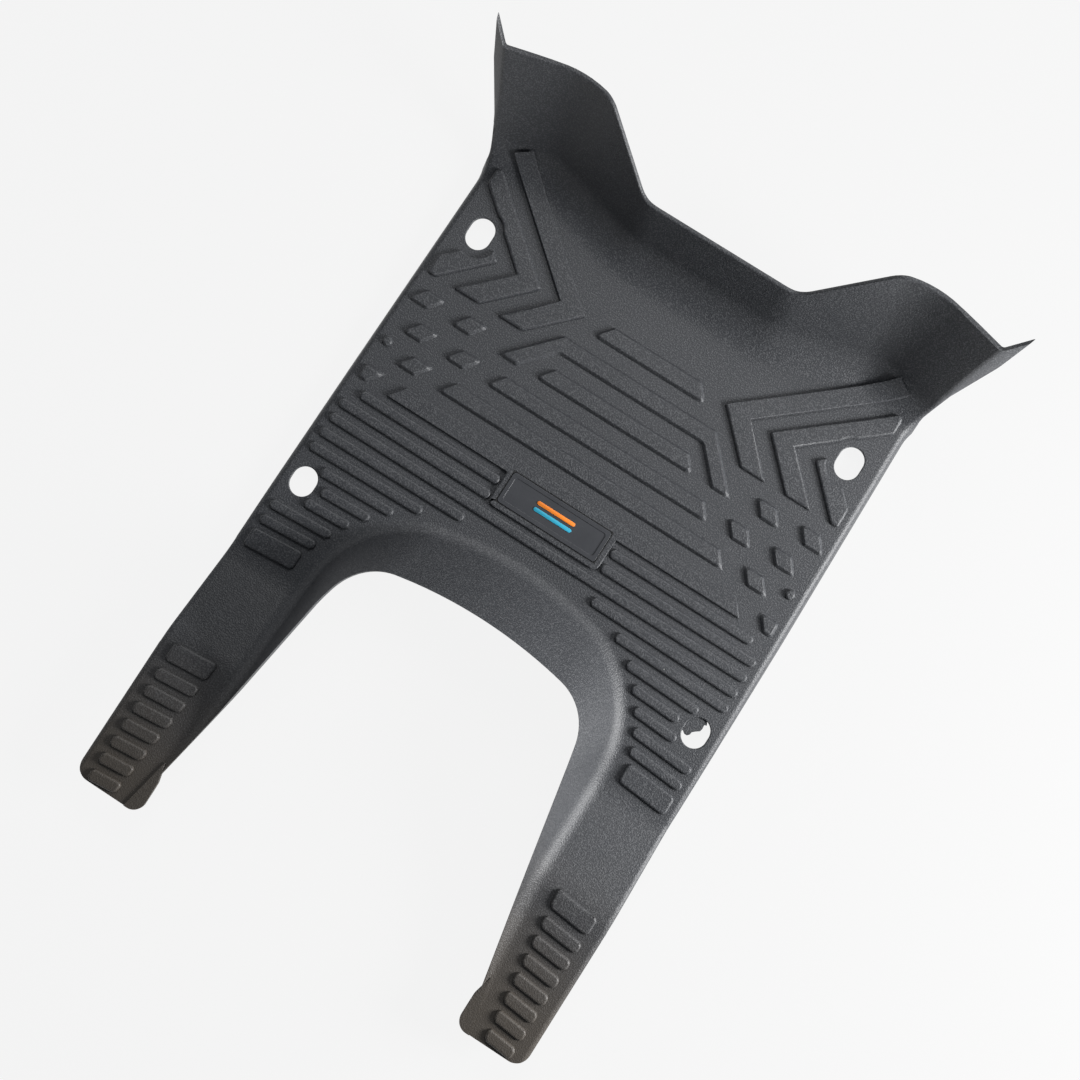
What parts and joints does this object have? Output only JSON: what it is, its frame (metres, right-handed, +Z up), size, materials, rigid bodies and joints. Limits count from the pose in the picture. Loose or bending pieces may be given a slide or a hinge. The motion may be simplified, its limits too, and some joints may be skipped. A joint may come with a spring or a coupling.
{
  "type": "scooter floor mat",
  "caption": "Moulded rubber scooter floorboard mat with raised tread, side lips, a leaning front wall, a flanged rear cut-out, rear legs and a bare badge plate.",
  "frame": {"origin": "middle of the part in plan, on the level of the side lips' lower edges", "axes": "+Y to the front wall, +X to the rider's right, +Z up"},
  "size_m": [0.4416, 0.6316, 0.12],
  "materials": {
    "mat": "satin black with a fine spark grain",
    "plate": "satin dark grey"
  },
  "bodies": {
    "root": {"floor_mat": "mat", "badge_plate": "plate"}
  },
  "joints": []
}
